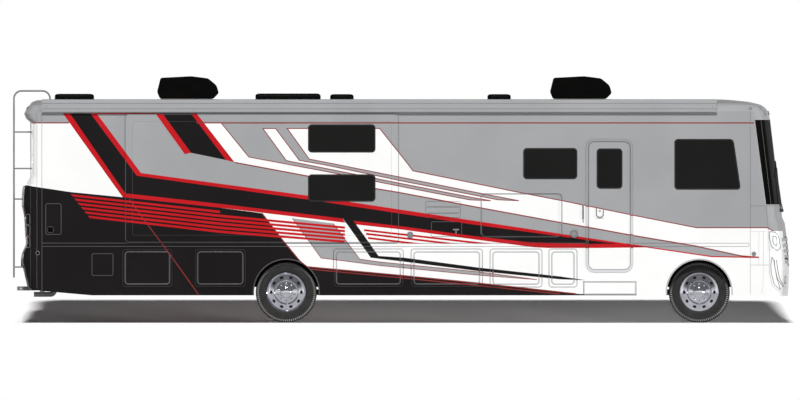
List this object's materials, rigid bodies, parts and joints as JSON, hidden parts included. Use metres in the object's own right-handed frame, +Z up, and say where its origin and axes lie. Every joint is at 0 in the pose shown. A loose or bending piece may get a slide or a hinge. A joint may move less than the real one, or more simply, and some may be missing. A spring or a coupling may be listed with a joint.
{
  "type": "motorhome",
  "caption": "Long bus-fronted motorhome with slide-out rooms, hinged entry door, storage bays, steered front wheels and a rear ladder.",
  "frame": {"origin": "middle of the overall box on the ground", "axes": "+X forwards, +Y to the vehicle's left, +Z up"},
  "size_m": [12.0278, 2.68, 3.8209],
  "materials": {
    "frame_paint": "black chassis paint",
    "body_paint": "painted glass-fibre laminate",
    "floor_wood": "laminated floor",
    "roof_skin": "white roof laminate",
    "dark_glass": "tinted glass",
    "white_plastic": "white moulded plastic",
    "awning_metal": "extruded aluminium",
    "ladder_tube": "bright tube",
    "lamp_lens": "clear lens",
    "red_lens": "red lens",
    "black_trim": "black moulding",
    "chrome_trim": "chrome",
    "interior_plastic": "moulded plastic",
    "seat_cloth": "upholstery",
    "cast_metal": "cast and forged steel",
    "bare_steel": "steel",
    "polished_wheel": "polished disc wheel",
    "tyre_rubber": "tyre rubber"
  },
  "bodies": {
    "chassis": {"frame_rails": "frame_paint", "floor": "floor_wood", "right_wall": "body_paint", "left_wall": "body_paint", "right_skirt": "body_paint", "left_skirt": "body_paint", "roof": "roof_skin", "rear_cap": "body_paint", "front_cap": "body_paint", "windshield": "dark_glass", "side_windows": "dark_glass", "air_conditioners": "white_plastic", "roof_fittings": "white_plastic", "awnings": "awning_metal", "ladder": "ladder_tube", "hitch_receiver": "frame_paint", "headlights": "lamp_lens", "tail_lights": "red_lens", "grille": "black_trim", "entry_door_frame": "black_trim", "grab_rail": "chrome_trim", "dashboard": "interior_plastic", "cab_seats": "seat_cloth", "engine": "cast_metal", "exhaust": "bare_steel", "front_axle": "cast_metal", "rear_axle": "cast_metal", "leaf_springs": "bare_steel", "fuel_tank": "bare_steel", "wheel_houses": "frame_paint", "right_storage_bays": "frame_paint", "left_storage_bays": "frame_paint", "service_hatches": "body_paint"},
    "left_knuckle": {"left_knuckle": "cast_metal"},
    "right_knuckle": {"right_knuckle": "cast_metal"},
    "tie_rod": {"tie_rod": "bare_steel"},
    "front_left_wheel": {"front_left_rim": "polished_wheel", "front_left_tyre": "tyre_rubber"},
    "front_right_wheel": {"front_right_rim": "polished_wheel", "front_right_tyre": "tyre_rubber"},
    "rear_left_wheels": {"rear_left_rims": "polished_wheel", "rear_left_tyres": "tyre_rubber"},
    "rear_right_wheels": {"rear_right_rims": "polished_wheel", "rear_right_tyres": "tyre_rubber"},
    "entry_door": {"entry_door": "body_paint", "entry_door_window": "dark_glass"},
    "right_slideout": {"right_slideout": "body_paint", "right_slideout_windows": "dark_glass"},
    "left_slideout": {"left_slideout": "body_paint", "left_slideout_windows": "dark_glass"},
    "entry_step": {"entry_step": "black_trim"},
    "side_hatch": {"side_hatch": "body_paint"},
    "right_bay_door_1": {"right_bay_door_1": "body_paint"},
    "right_bay_door_2": {"right_bay_door_2": "body_paint"},
    "right_bay_door_3": {"right_bay_door_3": "body_paint"},
    "right_bay_door_4": {"right_bay_door_4": "body_paint"},
    "right_bay_door_5": {"right_bay_door_5": "body_paint"},
    "right_bay_door_6": {"right_bay_door_6": "body_paint"},
    "left_bay_door_1": {"left_bay_door_1": "body_paint"},
    "left_bay_door_2": {"left_bay_door_2": "body_paint"}
  },
  "joints": [
    {"name": "left_kingpin", "type": "hinge", "parent": "chassis", "child": "left_knuckle", "pos_m": [4.623, 0.86, 0.4735], "axis": [0, 0, 1], "range_deg": [-35, 35]},
    {"name": "right_kingpin", "type": "hinge", "parent": "chassis", "child": "right_knuckle", "pos_m": [4.623, -0.86, 0.4735], "axis": [0, 0, 1], "range_deg": [-35, 35]},
    {"name": "tie_rod_pivot", "type": "hinge", "parent": "left_knuckle", "child": "tie_rod", "pos_m": [4.443, 0.86, 0.4], "axis": [0, 0, 1], "range_deg": [-35, 35]},
    {"name": "front_left_wheel_spin", "type": "hinge", "parent": "left_knuckle", "child": "front_left_wheel", "pos_m": [4.623, 1, 0.4735], "axis": [0, 1, 0], "continuous": true},
    {"name": "front_right_wheel_spin", "type": "hinge", "parent": "right_knuckle", "child": "front_right_wheel", "pos_m": [4.623, -1, 0.4735], "axis": [0, 1, 0], "continuous": true},
    {"name": "rear_left_wheel_spin", "type": "hinge", "parent": "chassis", "child": "rear_left_wheels", "pos_m": [-1.778, 0.943, 0.4735], "axis": [0, 1, 0], "continuous": true},
    {"name": "rear_right_wheel_spin", "type": "hinge", "parent": "chassis", "child": "rear_right_wheels", "pos_m": [-1.778, -0.943, 0.4735], "axis": [0, 1, 0], "continuous": true},
    {"name": "entry_door_hinge", "type": "hinge", "parent": "chassis", "child": "entry_door", "pos_m": [3.551, -1.283, 1.8], "axis": [0, 0, 1], "range_deg": [0, 95]},
    {"name": "entry_step_slide", "type": "slide", "parent": "chassis", "child": "entry_step", "axis": [0, -1, 0], "range_m": [0, 0.35]},
    {"name": "right_slideout_travel", "type": "slide", "parent": "chassis", "child": "right_slideout", "axis": [0, -1, 0], "range_m": [0, 0.6]},
    {"name": "left_slideout_travel", "type": "slide", "parent": "chassis", "child": "left_slideout", "axis": [0, 1, 0], "range_m": [0, 0.6]},
    {"name": "side_hatch_hinge", "type": "hinge", "parent": "chassis", "child": "side_hatch", "pos_m": [1.8685, -1.28, 2], "axis": [-1, 0, 0], "range_deg": [0, 90]},
    {"name": "right_bay_door_1_hinge", "type": "hinge", "parent": "chassis", "child": "right_bay_door_1", "pos_m": [-3.932, -1.28, 1.143], "axis": [-1, 0, 0], "range_deg": [0, 90]},
    {"name": "right_bay_door_2_hinge", "type": "hinge", "parent": "chassis", "child": "right_bay_door_2", "pos_m": [-2.8025, -1.28, 1.143], "axis": [-1, 0, 0], "range_deg": [0, 90]},
    {"name": "right_bay_door_3_hinge", "type": "hinge", "parent": "chassis", "child": "right_bay_door_3", "pos_m": [-0.5055, -1.28, 1.143], "axis": [-1, 0, 0], "range_deg": [0, 90]},
    {"name": "right_bay_door_4_hinge", "type": "hinge", "parent": "chassis", "child": "right_bay_door_4", "pos_m": [0.7095, -1.28, 1.143], "axis": [-1, 0, 0], "range_deg": [0, 90]},
    {"name": "right_bay_door_5_hinge", "type": "hinge", "parent": "chassis", "child": "right_bay_door_5", "pos_m": [1.783, -1.28, 1.143], "axis": [-1, 0, 0], "range_deg": [0, 90]},
    {"name": "right_bay_door_6_hinge", "type": "hinge", "parent": "chassis", "child": "right_bay_door_6", "pos_m": [2.511, -1.28, 1.143], "axis": [-1, 0, 0], "range_deg": [0, 90]},
    {"name": "left_bay_door_1_hinge", "type": "hinge", "parent": "chassis", "child": "left_bay_door_1", "pos_m": [-0.5055, 1.28, 1.143], "axis": [1, 0, 0], "range_deg": [0, 90]},
    {"name": "left_bay_door_2_hinge", "type": "hinge", "parent": "chassis", "child": "left_bay_door_2", "pos_m": [0.7095, 1.28, 1.143], "axis": [1, 0, 0], "range_deg": [0, 90]}
  ],
  "couplings": [
    {"joint": "right_kingpin", "follows": "left_kingpin", "ratio": 1},
    {"joint": "tie_rod_pivot", "follows": "left_kingpin", "ratio": -1}
  ]
}
